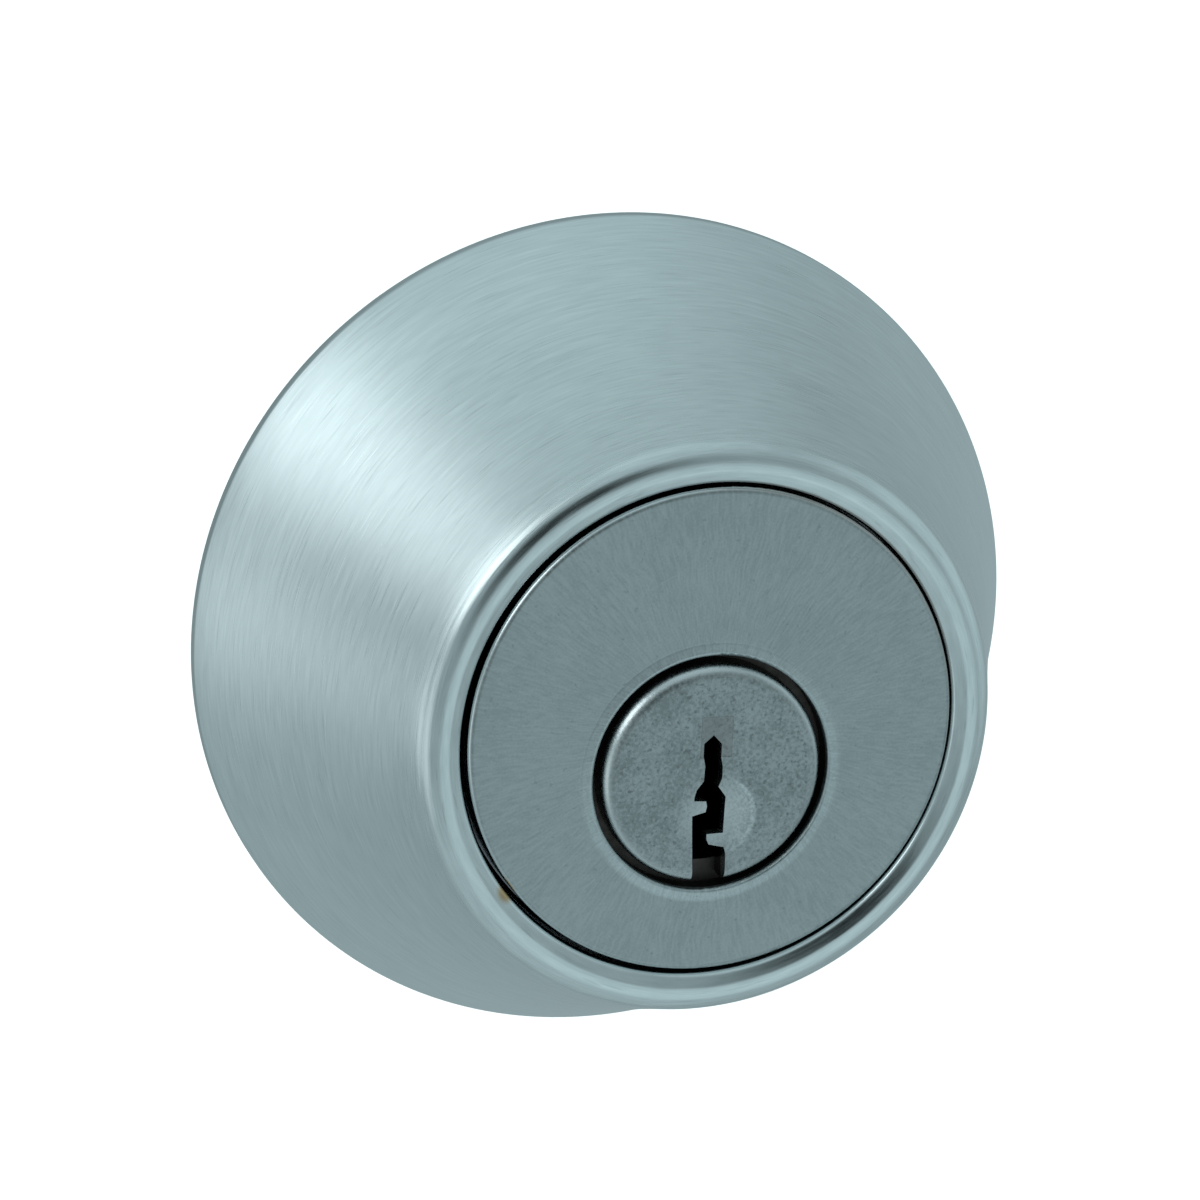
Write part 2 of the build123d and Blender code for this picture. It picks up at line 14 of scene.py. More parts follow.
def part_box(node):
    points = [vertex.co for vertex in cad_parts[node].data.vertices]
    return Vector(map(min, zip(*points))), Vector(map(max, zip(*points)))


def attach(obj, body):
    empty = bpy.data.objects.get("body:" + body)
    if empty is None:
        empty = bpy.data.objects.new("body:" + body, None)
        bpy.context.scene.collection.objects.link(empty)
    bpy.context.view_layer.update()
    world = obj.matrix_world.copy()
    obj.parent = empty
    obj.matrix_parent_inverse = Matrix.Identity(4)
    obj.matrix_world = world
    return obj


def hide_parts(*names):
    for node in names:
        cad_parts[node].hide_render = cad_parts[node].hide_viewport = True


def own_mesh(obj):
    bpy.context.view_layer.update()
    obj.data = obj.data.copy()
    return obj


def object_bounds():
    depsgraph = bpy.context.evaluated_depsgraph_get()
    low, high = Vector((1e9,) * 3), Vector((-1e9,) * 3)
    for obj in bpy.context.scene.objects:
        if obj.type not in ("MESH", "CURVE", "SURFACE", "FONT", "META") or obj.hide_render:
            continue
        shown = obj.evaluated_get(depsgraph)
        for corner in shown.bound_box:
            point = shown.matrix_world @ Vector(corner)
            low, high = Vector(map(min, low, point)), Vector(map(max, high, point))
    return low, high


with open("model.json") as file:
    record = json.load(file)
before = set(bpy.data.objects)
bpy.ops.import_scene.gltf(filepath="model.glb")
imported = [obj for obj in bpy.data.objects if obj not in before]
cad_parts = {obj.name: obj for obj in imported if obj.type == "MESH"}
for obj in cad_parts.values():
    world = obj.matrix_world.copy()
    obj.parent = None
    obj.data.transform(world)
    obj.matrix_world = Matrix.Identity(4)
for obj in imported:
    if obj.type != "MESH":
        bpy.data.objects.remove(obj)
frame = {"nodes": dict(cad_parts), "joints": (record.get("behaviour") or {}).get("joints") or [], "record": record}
cad_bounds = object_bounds()

MM = 0.001

# ------------------------------------------------------------------ sizes
# Depths are counted from the door's face towards the person, so a depth d lies at y = -d
GUARD_WALL = 0.60 * MM
GUARD_REST = Vector((-0.11, 0.0, -0.05)) * MM  # the loose guard rests a little off the axis
DOOR_GAP = 0.15 * MM
LIP_CREST = -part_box("guard")[0].y
GUARD_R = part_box("guard")[1].x
FLANGE_INNER_R = 15.2 * MM
FLANGE_FRONT = 20.45 * MM
FLANGE_BEND = 0.30 * MM
LIP_BORE_R = 16.45 * MM
LIP_BORE_DROP = 0.41 * MM  # from the crest down to the edge of the bore
LIP_SLOPE_R = 17.45 * MM
LIP_CORNER_R = 18.85 * MM
LIP_INNER_BEND = 0.62 * MM
LIP_SLOPE_BEND = 0.70 * MM
LIP_SHOULDER_BEND = 1.70 * MM
TAPER_HOLLOW = 0.35 * MM
TAPER_LEAN = 0.4384  # how far the taper's normal leans towards the person
TAPER_BEND = 330 * MM
RIM_DEPTH = 0.85 * MM
RIM_BEND = 0.70 * MM

FACE_FRONT = -23.68 * MM
FACE_EDGE = 0.40 * MM
BEAD_OUTER_R, BEAD_INNER_R = 8.85 * MM, 8.55 * MM  # about the plug's axis

PLUG_AXIS_Z = -2.75
PLUG_AXIS = Vector((0.0, 0.0, PLUG_AXIS_Z)) * MM
PLUG_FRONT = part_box("plug")[0].y
PLUG_EDGE = 0.90 * MM
PLUG_BORE_R = 6.48 * MM
PLUG_MOUTH_R = 7.95 * MM

# Lower left and upper right corners of the mark stamped in the plug's face, as (x, z)
MARK = ((-0.99 * MM, (PLUG_AXIS_Z + 1.24) * MM), (1.17 * MM, (PLUG_AXIS_Z + 4.03) * MM))
MARK_BLUR = 0.06 * MM
DISH = Vector((0.17, 0.0, PLUG_AXIS_Z - 2.77)) * MM
DISH_RIM_R = 2.62 * MM

# Where the plating is rubbed through, on the lip's bore at the lower left
RUBBED_ANGLE = math.radians(217)
RUBBED_SPOT = Vector((16.6 * math.cos(RUBBED_ANGLE), -23.45, 16.6 * math.sin(RUBBED_ANGLE))) * MM

# ------------------------------------------------------------------ camera
CAMERA_AZIMUTH = -18.14  # degrees from straight in front, to the lock's left
CAMERA_ELEVATION = 17.33
CAMERA_ROLL = 2.6
CAMERA_DISTANCE = 327.1 * MM
CAMERA_TARGET = Vector((-4.05, -11.65, 5.33)) * MM
CAMERA_LENS = 150.0
SENSOR_WIDTH = 36.0


def direction(azimuth, elevation):
    """The unit vector from the lock towards a place in the studio; azimuth 0 is straight in front."""
    a, e = math.radians(azimuth), math.radians(elevation)
    return Vector((math.sin(a) * math.cos(e), -math.cos(a) * math.cos(e), math.sin(e)))


def make_camera():
    """The camera at the viewing angle, turned about its own axis by the roll."""
    data = bpy.data.cameras.new("camera")
    data.lens = CAMERA_LENS
    data.sensor_width = SENSOR_WIDTH
    data.clip_start = 10 * MM
    data.clip_end = 50.0
    camera = bpy.data.objects.new("camera", data)
    bpy.context.scene.collection.objects.link(camera)
    back = direction(CAMERA_AZIMUTH, CAMERA_ELEVATION)
    upright = (-back).to_track_quat("-Z", "Y").to_matrix()
    roll = Matrix.Rotation(math.radians(CAMERA_ROLL), 3, "Z")
    camera.matrix_world = (upright @ roll).to_4x4()
    camera.location = CAMERA_TARGET + back * CAMERA_DISTANCE
    bpy.context.scene.camera = camera


# ------------------------------------------------------------------ studio
TENT_COLOUR = (0.77, 0.965, 1.0)
KEY_COLOUR = (0.92, 0.99, 1.0)
# azimuth, elevation, inner and outer angle, then the value inside and the value outside
CAMERA_SHADE = (-9, 19, 10, 24, 0.02, 1.0)
TENT_SPOTS = (
    (-160, 62, 0, 55, 0.64, 0.45),  # the tent is brighter overhead
    (10, 72, 0, 42, 0.22, 0.0),
    (24, -26, 5, 38, 0.30, 0.0),
    (84, 12, 8, 42, 0.27, 0.0),
    (-20, -65, 10, 55, 0.17, 0.0),
)
SOFT_BOXES = (
    (-66, 31, 8, 21, 1.9, 0.0),
    (-103, 31, 8, 21, 1.30, 0.0),
    (-104, -11, 3, 20, 0.60, 0.0),
    (-70, -16, 3, 24, 0.5, 0.0),
)


def make_world():
    """A pale tent round the lock, dark where the camera stands, with soft boxes at the left.

    Camera rays see a white ground instead.
    """
    world = bpy.data.worlds.new("studio")
    bpy.context.scene.world = world
    world.use_nodes = True
    tree = world.node_tree
    tree.nodes.clear()
    coords = tree.nodes.new("ShaderNodeTexCoord").outputs["Generated"]

    def patch(azimuth, elevation, inner, outer, middle, beyond):
        """A value that changes softly between two angles from a direction of the tent."""
        towards = tree.nodes.new("ShaderNodeVectorMath")
        towards.operation = "DOT_PRODUCT"
        towards.inputs[1].default_value = direction(azimuth, elevation)
        tree.links.new(coords, towards.inputs[0])
        ramp = tree.nodes.new("ShaderNodeMapRange")
        ramp.interpolation_type = "SMOOTHSTEP"
        ramp.inputs["From Min"].default_value = math.cos(math.radians(outer))
        ramp.inputs["From Max"].default_value = math.cos(math.radians(inner))
        ramp.inputs["To Min"].default_value = beyond
        ramp.inputs["To Max"].default_value = middle
        tree.links.new(towards.outputs["Value"], ramp.inputs["Value"])
        return ramp.outputs["Result"]

    def combine(operation, values):
        total = values[0]
        for value in values[1:]:
            node = tree.nodes.new("ShaderNodeMath")
            node.operation = operation
            tree.links.new(total, node.inputs[0])
            tree.links.new(value, node.inputs[1])
            total = node.outputs[0]
        return total

    def glow(tint, strength):
        node = tree.nodes.new("ShaderNodeBackground")
        node.inputs["Color"].default_value = (*tint, 1.0)
        if isinstance(strength, float):
            node.inputs["Strength"].default_value = strength
        else:
            tree.links.new(strength, node.inputs["Strength"])
        return node.outputs[0]

    tent = combine("MULTIPLY", [
        patch(*CAMERA_SHADE),
        combine("ADD", [patch(*spot) for spot in TENT_SPOTS]),
    ])
    boxes = combine("ADD", [patch(*spot) for spot in SOFT_BOXES])
    both = tree.nodes.new("ShaderNodeAddShader")
    tree.links.new(glow(TENT_COLOUR, tent), both.inputs[0])
    tree.links.new(glow(KEY_COLOUR, boxes), both.inputs[1])
    seen = tree.nodes.new("ShaderNodeLightPath")
    mix = tree.nodes.new("ShaderNodeMixShader")
    out = tree.nodes.new("ShaderNodeOutputWorld")
    tree.links.new(seen.outputs["Is Camera Ray"], mix.inputs[0])
    tree.links.new(both.outputs[0], mix.inputs[1])
    tree.links.new(glow((1.0, 1.0, 1.0), 1.0), mix.inputs[2])
    tree.links.new(mix.outputs[0], out.inputs["Surface"])


FLOOR_DROP = 150 * MM
FLOOR_REACH = 6.0


def make_floor():
    """A plain pale floor, well below the lock."""
    mesh = bpy.data.meshes.new("floor")
    height = cad_bounds[0].z - FLOOR_DROP
    signs = ((-1, -1), (1, -1), (1, 1), (-1, 1))
    corners = [(FLOOR_REACH * across, FLOOR_REACH * deep, height) for across, deep in signs]
    mesh.from_pydata(corners, [], [(0, 1, 2, 3)])
    floor = bpy.data.objects.new("floor", mesh)
    bpy.context.scene.collection.objects.link(floor)
    material = bpy.data.materials.new("pale_floor")
    material.use_nodes = True
    shader = material.node_tree.nodes["Principled BSDF"]
    shader.inputs["Base Color"].default_value = (0.9, 0.9, 0.9, 1.0)
    shader.inputs["Roughness"].default_value = 0.9
    shader.inputs["Emission Color"].default_value = (1.0, 1.0, 1.0, 1.0)
    shader.inputs["Emission Strength"].default_value = 0.6
    mesh.materials.append(material)
    floor.visible_glossy = False
    floor.visible_diffuse = False


# ------------------------------------------------------------------ material nodes
# A mix node's colour sockets, by number, because its number and vector sockets share their names
MIX_A, MIX_B, MIX_RESULT = 6, 7, 2


class Recipe:
    """A material under construction: each method adds one node and returns its output."""

    def __init__(self, material):
        self.material = material
        self.material.use_nodes = True
        self.tree = self.material.node_tree
        self.shader = self.tree.nodes["Principled BSDF"]

    def link(self, value, socket):
        """Sets a socket to a number, a colour or a vector, or links an output to it."""
        if isinstance(value, bpy.types.NodeSocket):
            self.tree.links.new(value, socket)
        else:
            socket.default_value = value

    def math(self, operation, a, b=0.0, c=0.0):
        node = self.tree.nodes.new("ShaderNodeMath")
        node.operation = operation
        for socket, value in zip(node.inputs, (a, b, c)):
            self.link(value, socket)
        return node.outputs[0]

    def vector(self, x, y, z):
        node = self.tree.nodes.new("ShaderNodeCombineXYZ")
        for socket, value in zip(node.inputs, (x, y, z)):
            self.link(value, socket)
        return node.outputs[0]

    def position(self):
        """Object coordinates as three numbers, in metres."""
        coords = self.tree.nodes.new("ShaderNodeTexCoord")
        split = self.tree.nodes.new("ShaderNodeSeparateXYZ")
        self.tree.links.new(coords.outputs["Object"], split.inputs[0])
        return split.outputs[0], split.outputs[1], split.outputs[2]

    def polar(self, x, z):
        """Distance from the lock's axis, then the cosine and sine of the angle round it."""
        rho = self.math("SQRT", self.math("ADD", self.math("MULTIPLY", x, x), self.math("MULTIPLY", z, z)))
        return rho, self.math("DIVIDE", x, rho), self.math("DIVIDE", z, rho)

    def distance(self, spot, place):
        node = self.tree.nodes.new("ShaderNodeVectorMath")
        node.operation = "DISTANCE"
        self.link(spot, node.inputs[0])
        node.inputs[1].default_value = place
        return node.outputs["Value"]

    def near(self, x, y, z, place, inner, outer):
        """1 within the inner distance of a place, 0 beyond the outer one."""
        return self.remap(self.distance(self.vector(x, y, z), place), inner, outer, 1.0, 0.0, smooth=True)

    def hairlines(self, x, z, degrees, level):
        """Sparse straight scratches at one slant, each a few millimetres long."""
        c, s = math.cos(math.radians(degrees)), math.sin(math.radians(degrees))
        along = self.math("ADD", self.math("MULTIPLY", x, c), self.math("MULTIPLY", z, s))
        across = self.math("SUBTRACT", self.math("MULTIPLY", z, c), self.math("MULTIPLY", x, s))
        stretched = self.vector(
            self.math("MULTIPLY", along, 260.0), self.math("MULTIPLY", across, 9000.0), degrees
        )
        field = self.noise(stretched, detail=1.0)
        return self.remap(field, level, level + 0.08, 0.0, 1.0)

    def painted_gap_shade(self, tint, y, front, depth):
        """Painted shade: darkens a face's side walls from a depth behind its front, down into the gap."""
        painted_shade_amount = self.remap(y, front + depth * 0.80, front + depth * 1.15, 0.0, 0.95, smooth=True)
        return self.mix(painted_shade_amount, tint, colour(0.02, 0.02, 0.02))

    def worn_and_highlit_edge(self, y, front, depth):
        """1 where an edge falls away from its face, 0 on the face; there the edge is rubbed smooth and also takes
        a painted highlight.
        """
        return self.remap(y, front + depth * 0.10, front + depth * 0.35, 0.0, 1.0)

    def scale_colour(self, tint, factor):
        node = self.tree.nodes.new("ShaderNodeVectorMath")
        node.operation = "SCALE"
        self.link(tint, node.inputs[0])
        self.link(factor, node.inputs["Scale"])
        return node.outputs[0]

    def noise(self, vector, scale=1.0, detail=2.0, roughness=0.5):
        node = self.tree.nodes.new("ShaderNodeTexNoise")
        self.link(vector, node.inputs["Vector"])
        node.inputs["Scale"].default_value = scale
        node.inputs["Detail"].default_value = detail
        node.inputs["Roughness"].default_value = roughness
        return node.outputs["Fac"]

    def remap(self, value, low, high, to_low, to_high, smooth=False):
        node = self.tree.nodes.new("ShaderNodeMapRange")
        node.clamp = True
        if smooth:
            node.interpolation_type = "SMOOTHSTEP"
        names = ("Value", "From Min", "From Max", "To Min", "To Max")
        for name, number in zip(names, (value, low, high, to_low, to_high)):
            self.link(number, node.inputs[name])
        return node.outputs["Result"]

    def mix(self, factor, a, b):
        node = self.tree.nodes.new("ShaderNodeMix")
        node.data_type = "RGBA"
        self.link(factor, node.inputs[0])
        self.link(a, node.inputs[MIX_A])
        self.link(b, node.inputs[MIX_B])
        return node.outputs[MIX_RESULT]

    def bump(self, height, distance, strength=1.0, under=None):
        node = self.tree.nodes.new("ShaderNodeBump")
        node.inputs["Strength"].default_value = strength
        node.inputs["Distance"].default_value = distance
        self.link(height, node.inputs["Height"])
        if under is not None:
            self.link(under, node.inputs["Normal"])
        return node.outputs["Normal"]


def colour(r, g, b):
    return (r, g, b, 1.0)


def satin_guard():
    """Satin plating brushed round the axis, with a rubbed spot in the lip's bore; a painted highlight lightens it
    towards the rim, and painted shade darkens the rim's back edge and the depth of the bore.
    """
    r = Recipe(bpy.data.materials.new("satin_plated_brass"))
    x, y, z = r.position()
    rho, cosine, sine = r.polar(x, z)
    along = r.math("ADD", rho, y)  # falls steadily from the rim over the lip

    def streaks(around, across, detail, seed):
        return r.noise(
            r.vector(
                r.math("MULTIPLY_ADD", cosine, around, seed),
                r.math("MULTIPLY", sine, around),
                r.math("MULTIPLY", along, across),
            ),
            detail=detail,
        )

    fine = streaks(6.0, 9000.0, 3.0, 0.0)
    coarse = streaks(9.0, 3000.0, 2.0, 7.0)
    rare = r.remap(streaks(7.0, 5000.0, 1.0, 19.0), 0.66, 0.74, 0.0, 1.0)
    cloud = r.noise(r.vector(x, y, z), scale=110.0, detail=3.0)
    tone = r.math("ADD", r.math("MULTIPLY", fine, 0.5), r.math("MULTIPLY", coarse, 0.5))
    dark, light = colour(0.570, 0.624, 0.634), colour(0.698, 0.754, 0.764)
    plating = r.mix(r.remap(tone, 0.3, 0.7, 0.0, 1.0), dark, light)
    # Painted highlight: the taper is lightened towards the rim.
    painted_rim_highlight = r.remap(rho, 19 * MM, 26 * MM, 0.97, 1.09)
    # Painted shade: the rim's rounded back edge is darkened.
    edge = r.remap(y, -1.1 * MM, -0.7 * MM, 1.0, 0.62, smooth=True)
    shade = r.math("MULTIPLY", painted_rim_highlight, edge)
    shade = r.math("MULTIPLY", shade, r.remap(cloud, 0.3, 0.7, 0.975, 1.025))
    shade = r.math("MULTIPLY", shade, r.math("SUBTRACT", 1.0, r.math("MULTIPLY", rare, 0.12)))
    plating = r.scale_colour(plating, shade)
    rubbed = r.near(x, y, z, RUBBED_SPOT, 0.35 * MM, 0.95 * MM)
    plating = r.mix(rubbed, plating, colour(0.46, 0.33, 0.19))
    # Painted shade deep in the lip's bore, behind the face.
    in_bore = r.remap(rho, 16.6 * MM, 16.5 * MM, 0.0, 1.0)
    painted_shade_amount = r.math("MULTIPLY", in_bore, r.remap(y, -23.0 * MM, -22.7 * MM, 0.0, 0.9))
    r.link(r.mix(painted_shade_amount, plating, colour(0.03, 0.03, 0.03)), r.shader.inputs["Base Color"])
    r.shader.inputs["Metallic"].default_value = 1.0
    cloudy = r.math("MULTIPLY", r.math("SUBTRACT", cloud, 0.5), 0.10)
    rough = r.math("ADD", r.remap(fine, 0.3, 0.7, 0.27, 0.37), cloudy)
    lip = r.remap(rho, 18.6 * MM, 19.8 * MM, 0.72, 1.0)  # the lip is rubbed smoother than the taper
    r.link(r.math("MULTIPLY", rough, lip), r.shader.inputs["Roughness"])
    r.shader.inputs["Anisotropic"].default_value = 0.55
    tangent = r.tree.nodes.new("ShaderNodeTangent")
    tangent.direction_type = "RADIAL"
    tangent.axis = "Y"
    r.link(tangent.outputs[0], r.shader.inputs["Tangent"])
    r.link(r.bump(tone, 0.015 * MM, 0.6), r.shader.inputs["Normal"])
    return r.material


def satin_face():
    """Satin plating, finely mottled, with short uneven strokes that point roughly away from the middle; painted
    highlights lighten its rounded edge and the ring round the hole, and painted shade darkens its side wall.
    """
    r = Recipe(bpy.data.materials.new("satin_plated_face"))
    x, y, z = r.position()
    rho, cosine, sine = r.polar(x, z)
    spot = r.vector(x, y, z)
    sway = r.math("MULTIPLY", r.math("SUBTRACT", r.noise(spot, scale=300.0, detail=2.0), 0.5), 6.0)
    strokes = r.noise(
        r.vector(
            r.math("MULTIPLY_ADD", cosine, 75.0, sway),
            r.math("MULTIPLY", sine, 75.0),
            r.math("MULTIPLY", rho, 900.0),
        ),
        detail=3.0,
    )
    grain = r.noise(spot, scale=6500.0, detail=2.0)
    cloud = r.noise(spot, scale=190.0, detail=3.0)
    lines = r.math("MAXIMUM", r.hairlines(x, z, 28.0, 0.68), r.hairlines(x, z, 117.0, 0.70))
    lines = r.math("MAXIMUM", lines, r.hairlines(x, z, 61.0, 0.70))
    tone = r.math("ADD", r.math("MULTIPLY", strokes, 0.45), r.math("MULTIPLY", cloud, 0.25))
    tone = r.math("ADD", tone, r.math("MULTIPLY", grain, 0.30))
    dark, light = colour(0.312, 0.348, 0.355), colour(0.420, 0.464, 0.472)
    base = r.mix(r.remap(tone, 0.40, 0.60, 0.0, 1.0), dark, light)
    specks = r.remap(r.noise(spot, scale=2600.0, detail=1.0), 0.72, 0.78, 0.0, 0.30)
    base = r.mix(specks, base, colour(0.16, 0.175, 0.18))
    base = r.mix(r.math("MULTIPLY", lines, 0.35), base, colour(0.48, 0.52, 0.53))
    worn = r.remap(rho, 16.00 * MM, 16.16 * MM, 0.0, 0.7)
    upper_right = r.remap(r.math("ADD", cosine, sine), 0.7, 1.3, 0.0, 1.0)
    outside = r.remap(rho, 15.5 * MM, 15.7 * MM, 0.0, 1.0)  # the face's own edge, not its hole's
    # The face's rounded edge is rubbed smoother, and its colour is lightened as a painted highlight.
    rubbed = r.math("MULTIPLY", r.worn_and_highlit_edge(y, FACE_FRONT, FACE_EDGE), outside)
    base = r.mix(rubbed, base, colour(0.66, 0.70, 0.71))
    base = r.mix(r.math("MULTIPLY", worn, upper_right), base, colour(0.42, 0.33, 0.30))
    from_plug = r.distance(r.vector(x, 0.0, z), PLUG_AXIS)
    painted_bead_highlight = r.remap(from_plug, BEAD_OUTER_R, BEAD_INNER_R, 1.0, 1.26)  # painted highlight: the ring round the hole is lightened
    base = r.scale_colour(base, painted_bead_highlight)
    # Painted shade on the face's side wall, down in the gap.
    r.link(r.painted_gap_shade(base, y, FACE_FRONT, FACE_EDGE), r.shader.inputs["Base Color"])
    r.shader.inputs["Metallic"].default_value = 1.0
    rough = r.remap(tone, 0.36, 0.64, 0.36, 0.48)
    r.link(r.math("SUBTRACT", rough, r.math("MULTIPLY", rubbed, 0.22)), r.shader.inputs["Roughness"])
    height = r.math("ADD", r.math("MULTIPLY", strokes, 0.4), r.math("MULTIPLY", grain, 0.6))
    r.link(r.bump(height, 0.012 * MM, 0.6), r.shader.inputs["Normal"])
    return r.material


def plug_metal():
    """Matte, finely pitted metal, with a square mark stamped faintly round the keyway's tip; painted highlights
    lighten the right of the dish and the rounded front edge, and painted shade darkens the side wall.
    """
    r = Recipe(bpy.data.materials.new("satin_plated_plug"))
    x, y, z = r.position()
    spot = r.vector(x, y, z)
    grain = r.noise(spot, scale=4800.0, detail=3.0, roughness=0.6)
    pits = r.remap(r.noise(r.vector(z, x, y), scale=3600.0, detail=1.0), 0.60, 0.72, 0.0, 0.6)
    cloud = r.noise(spot, scale=420.0, detail=2.0)
    tone = r.math("ADD", r.math("MULTIPLY", grain, 0.7), r.math("MULTIPLY", cloud, 0.3))
    dark, light = colour(0.240, 0.268, 0.275), colour(0.395, 0.433, 0.443)
    base = r.mix(r.remap(tone, 0.40, 0.60, 0.0, 1.0), dark, light)
    base = r.mix(pits, base, colour(0.14, 0.155, 0.16))
    sides = []
    for place, low, high in zip((x, z), *MARK):
        rise = r.remap(place, low, low + MARK_BLUR, 0.0, 1.0)
        fall = r.remap(place, high - MARK_BLUR, high, 1.0, 0.0)
        sides.append(r.math("MULTIPLY", rise, fall))
    inside = r.math("MULTIPLY", *sides)
    mark = r.math("MULTIPLY", inside, r.remap(y, -24.0 * MM, -24.1 * MM, 0.0, 1.0))
    base = r.mix(r.math("MULTIPLY", mark, 0.45), base, colour(0.23, 0.225, 0.225))
    # Painted highlight: the right part of the dish round the keyway and its rim are lightened and made a little
    # smoother.
    from_dish = r.distance(r.vector(x, 0.0, z), DISH)
    right = r.remap(x, 0.6 * MM, 2.2 * MM, 0.0, 1.0, smooth=True)
    bowl = r.math("MULTIPLY", right, r.remap(from_dish, 2.3 * MM, 2.8 * MM, 0.30, 0.0, smooth=True))
    from_rim = r.math("ABSOLUTE", r.math("SUBTRACT", from_dish, DISH_RIM_R))
    rim = r.remap(from_rim, 0.05 * MM, 0.30 * MM, 0.45, 0.0, smooth=True)
    painted_dish_highlight = r.math("MAXIMUM", bowl, r.math("MULTIPLY", right, rim))
    painted_dish_highlight = r.math("MULTIPLY", painted_dish_highlight, r.remap(grain, 0.35, 0.60, 0.5, 1.3))
    base = r.mix(painted_dish_highlight, base, colour(0.66, 0.72, 0.73))
    # The plug's rounded front edge is rubbed smoother, and its colour is lightened as a painted highlight.
    rubbed = r.remap(y, PLUG_FRONT, PLUG_FRONT + 0.25 * PLUG_EDGE, 0.0, 1.0)
    base = r.mix(r.math("MULTIPLY", rubbed, 0.8), base, colour(0.62, 0.66, 0.67))
    # Painted shade on the plug's side wall, down in the gap.
    r.link(r.painted_gap_shade(base, y, PLUG_FRONT, PLUG_EDGE), r.shader.inputs["Base Color"])
    r.shader.inputs["Metallic"].default_value = 1.0
    rough = r.remap(grain, 0.3, 0.7, 0.38, 0.50)
    rough = r.math("SUBTRACT", rough, r.math("MULTIPLY", painted_dish_highlight, 0.10))
    r.link(r.math("SUBTRACT", rough, r.math("MULTIPLY", rubbed, 0.16)), r.shader.inputs["Roughness"])
    dent = r.bump(mark, -0.03 * MM, 1.0)
    r.link(r.bump(grain, 0.02 * MM, 0.6, under=dent), r.shader.inputs["Normal"])
    return r.material


def plain_finish(name, dark, light, roughness, grain_scale, bump, metallic=1.0):
    """A finish with a fine grain and a cloudy tone; the bump is in millimetres."""
    r = Recipe(bpy.data.materials.new(name))
    x, y, z = r.position()
    spot = r.vector(x, y, z)
    grain = r.noise(spot, scale=grain_scale, detail=3.0)
    cloud = r.noise(spot, scale=180.0, detail=3.0)
    tone = r.math("ADD", r.math("MULTIPLY", grain, 0.4), r.math("MULTIPLY", cloud, 0.6))
    base = r.mix(r.remap(tone, 0.35, 0.65, 0.0, 1.0), colour(*dark), colour(*light))
    r.link(base, r.shader.inputs["Base Color"])
    r.shader.inputs["Metallic"].default_value = metallic
    r.link(r.remap(grain, 0.3, 0.7, roughness - 0.06, roughness + 0.06), r.shader.inputs["Roughness"])
    r.link(r.bump(grain, bump * MM, 0.6), r.shader.inputs["Normal"])
    return r.material


def cast_metal():
    """As-cast zinc, with painted shade darkening the plug's bore and round its mouth."""
    r = Recipe(plain_finish("cast_zinc", (0.33, 0.34, 0.35), (0.45, 0.46, 0.47), 0.5, 1800.0, 0.03))
    x, y, z = r.position()
    base_socket = r.shader.inputs["Base Color"]
    base = base_socket.links[0].from_socket
    from_plug = r.distance(r.vector(x, 0.0, z), PLUG_AXIS)
    reach = r.remap(y, -22.1 * MM, -22.0 * MM, PLUG_MOUTH_R, PLUG_BORE_R)  # wider at the mouth
    # Painted shade in the gap round the plug.
    in_bore = r.remap(r.math("SUBTRACT", from_plug, reach), 0.03 * MM, -0.03 * MM, 0.0, 0.92)
    r.link(r.mix(in_bore, base, colour(0.060, 0.048, 0.040)), base_socket)
    return r.material


# ------------------------------------------------------------------ guard
AROUND = 288
FEWEST_STEPS = 3
STEP_DEGREES = 7
STEP_LENGTH = 1.4 * MM
SHARP_ANGLE = math.radians(40)


def rounded(corners):
    """An open outline with its corners bent: each corner is (radius, depth, bend)."""
    points = [Vector(corners[0][:2])]
    for before, corner, after in zip(corners, corners[1:], corners[2:]):
        here = Vector(corner[:2])
        to_before = (Vector(before[:2]) - here).normalized()
        to_after = (Vector(after[:2]) - here).normalized()
        opening = to_before.angle(to_after)
        bend = corner[2]
        reach = bend / math.tan(opening / 2)
        centre = here + (to_before + to_after).normalized() * (bend / math.sin(opening / 2))
        start, end = here + to_before * reach - centre, here + to_after * reach - centre
        turn = math.pi - opening
        steps = max(FEWEST_STEPS, round(math.degrees(turn) / STEP_DEGREES), round(turn * bend / STEP_LENGTH))
        side = 1.0 if start.cross(end) > 0 else -1.0
        for step in range(steps + 1):
            angle = side * turn * step / steps
            c, s = math.cos(angle), math.sin(angle)
            points.append(centre + Vector((start.x * c - start.y * s, start.x * s + start.y * c)))
    points.append(Vector(corners[-1][:2]))
    return points


def turned(name, outline):
    """A body of revolution about the lock's axis from a closed outline of (radius, depth) points."""
    mesh = bpy.data.meshes.new(name)
    count = len(outline)
    verts, faces = [], []
    for n in range(AROUND):
        angle = 2 * math.pi * n / AROUND
        for p in outline:
            verts.append((p.x * math.cos(angle), -p.y, p.x * math.sin(angle)))
    for n in range(AROUND):
        m = (n + 1) % AROUND
        for i in range(count):
            j = (i + 1) % count
            faces.append((n * count + i, n * count + j, m * count + j, m * count + i))
    mesh.from_pydata(verts, [], faces)
    mesh.update()
    build = bmesh.new()
    build.from_mesh(mesh)
    bmesh.ops.recalc_face_normals(build, faces=build.faces)
    build.to_mesh(mesh)
    build.free()
    mesh.shade_smooth()
    mesh.set_sharp_from_angle(angle=SHARP_ANGLE)
    piece = bpy.data.objects.new(name, mesh)
    bpy.context.scene.collection.objects.link(piece)
    return piece


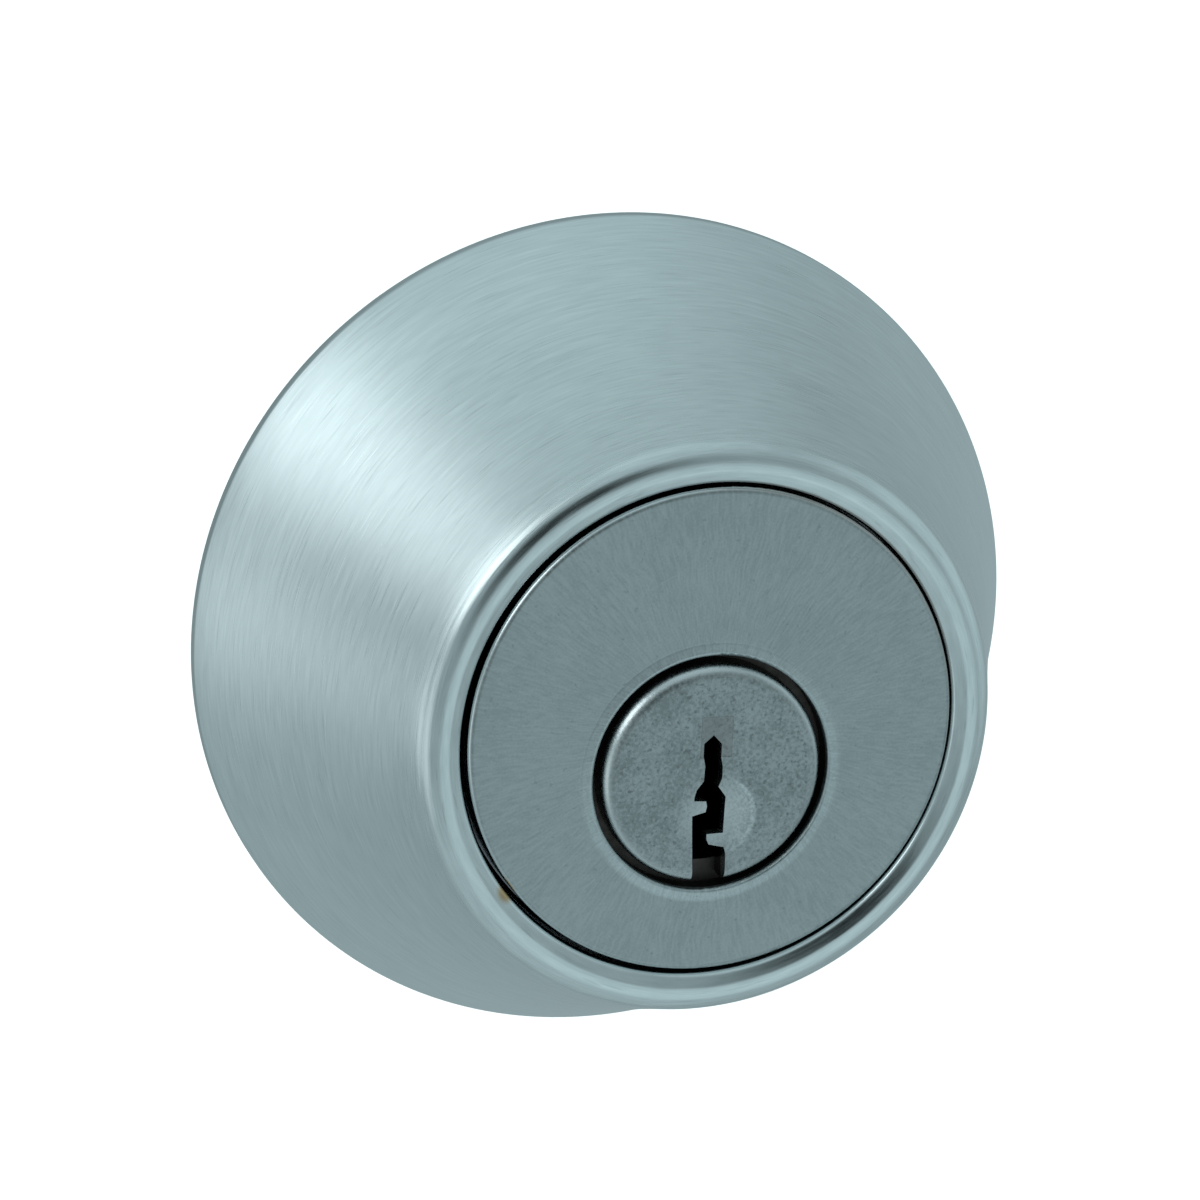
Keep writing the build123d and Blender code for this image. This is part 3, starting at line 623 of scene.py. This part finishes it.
def sheet_outline(outer, wall):
    """The closed section of a sheet of even thickness, whose outer face is an open outline."""
    inner = []
    for i, p in enumerate(outer):
        before, after = outer[max(i - 1, 0)], outer[min(i + 1, len(outer) - 1)]
        along = (after - before).normalized()
        inner.append(p + Vector((along.y, -along.x)) * wall)
    return outer + inner[::-1]


def make_guard():
    """The guard as one bent sheet: inner flange, bore, inner slope, rolled lip, hollow taper and rim."""
    corner = Vector((LIP_CORNER_R, LIP_CREST))
    rim = Vector((GUARD_R, RIM_DEPTH))
    middle = (corner + rim) / 2 - Vector((TAPER_HOLLOW, TAPER_HOLLOW * TAPER_LEAN))
    outer = rounded([
        (FLANGE_INNER_R, FLANGE_FRONT),
        (LIP_BORE_R, FLANGE_FRONT, FLANGE_BEND),
        (LIP_BORE_R, LIP_CREST - LIP_BORE_DROP, LIP_INNER_BEND),
        (LIP_SLOPE_R, LIP_CREST, LIP_SLOPE_BEND),
        (*corner, LIP_SHOULDER_BEND),
        (*middle, TAPER_BEND),
        (*rim, RIM_BEND),
        (GUARD_R, DOOR_GAP),
    ])
    piece = turned("guard_shell", sheet_outline(outer, GUARD_WALL))
    piece.data.transform(Matrix.Translation(GUARD_REST))
    piece.data.materials.append(satin_guard())
    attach(piece, "guard")
    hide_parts("guard")


# ------------------------------------------------------------------ springs
WIRE_R = 0.15 * MM
SPRING_TURNS = 6
RINGS_PER_TURN = 40
WIRE_SIDES = 12


def make_springs():
    """The five pin springs, each a coil of wire fixed to the housing; the real spring shortens as its driver pin
    rises.
    """
    for joint in frame["joints"]:
        for soft in joint.get("deforming_nodes", ()):
            node = soft["node"]
            low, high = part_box(node)
            middle = (low + high) / 2
            coil_r = (high.x - low.x) / 2 - WIRE_R
            foot, top = low.z + WIRE_R, high.z - WIRE_R
            rings, sides = SPRING_TURNS * RINGS_PER_TURN, WIRE_SIDES
            verts, faces = [], []
            for n in range(rings + 1):
                share = n / rings
                turn = 2 * math.pi * SPRING_TURNS * share
                out = Vector((math.cos(turn), math.sin(turn), 0.0))
                spot = Vector((middle.x, middle.y, foot + (top - foot) * share)) + out * coil_r
                for k in range(sides):
                    angle = 2 * math.pi * k / sides
                    across = out * (WIRE_R * math.cos(angle))
                    verts.append(spot + across + Vector((0, 0, WIRE_R * math.sin(angle))))
            for n in range(rings):
                for k in range(sides):
                    m = (k + 1) % sides
                    faces.append((n * sides + k, n * sides + m, (n + 1) * sides + m, (n + 1) * sides + k))
            faces.append(tuple(range(sides)))
            faces.append(tuple(rings * sides + k for k in reversed(range(sides))))
            mesh = bpy.data.meshes.new(f"coil_{node}")
            mesh.from_pydata(verts, [], faces)
            mesh.shade_smooth()
            piece = bpy.data.objects.new(f"coil_{node}", mesh)
            bpy.context.scene.collection.objects.link(piece)
            mesh.materials.append(bpy.data.materials["spring_wire"])  # the frame's own, a plain one
            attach(piece, "housing")
            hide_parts(node)
            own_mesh(piece)


# ------------------------------------------------------------------ CAD nodes
# slot: dark tone, light tone, roughness, scale of the grain, bump in millimetres, metallic
PLAIN_FINISHES = {
    "cast_zinc_blade": ((0.42, 0.43, 0.44), (0.55, 0.56, 0.57), 0.38, 2500.0, 0.01, 1.0),
    "hardened_steel": ((0.28, 0.28, 0.29), (0.40, 0.40, 0.41), 0.42, 2500.0, 0.012, 1.0),
    "spring_steel": ((0.22, 0.23, 0.25), (0.34, 0.35, 0.37), 0.33, 3000.0, 0.005, 1.0),
    "spring_wire": ((0.45, 0.45, 0.44), (0.6, 0.6, 0.58), 0.25, 3000.0, 0.002, 1.0),
    "brass": ((0.62, 0.42, 0.18), (0.78, 0.56, 0.27), 0.28, 3000.0, 0.004, 1.0),
    "nylon": ((0.72, 0.70, 0.62), (0.80, 0.78, 0.70), 0.5, 3000.0, 0.004, 0.0),
}


def paint(node, material):
    """Gives a CAD node a finish."""
    mesh_object = frame["nodes"][node]
    mesh_object.data.materials.clear()
    mesh_object.data.materials.append(material)


def finish_cad_nodes():
    """Finishes for the pieces whose CAD shape stays, by their material slots."""
    finishes = {
        "cast_zinc": cast_metal(),
        "satin_plated_face": satin_face(),
        "satin_plated_plug": plug_metal(),
    }
    for slot, finish in PLAIN_FINISHES.items():
        finishes[slot] = plain_finish(slot, *finish)
    for part in frame["record"]["subparts"]:
        node = part["node"]
        if part["material_slot"] in finishes:
            paint(node, finishes[part["material_slot"]])


# ------------------------------------------------------------------ build
bpy.context.scene.view_settings.view_transform = "Standard"
make_camera()
make_world()
make_floor()
make_guard()
finish_cad_nodes()
make_springs()
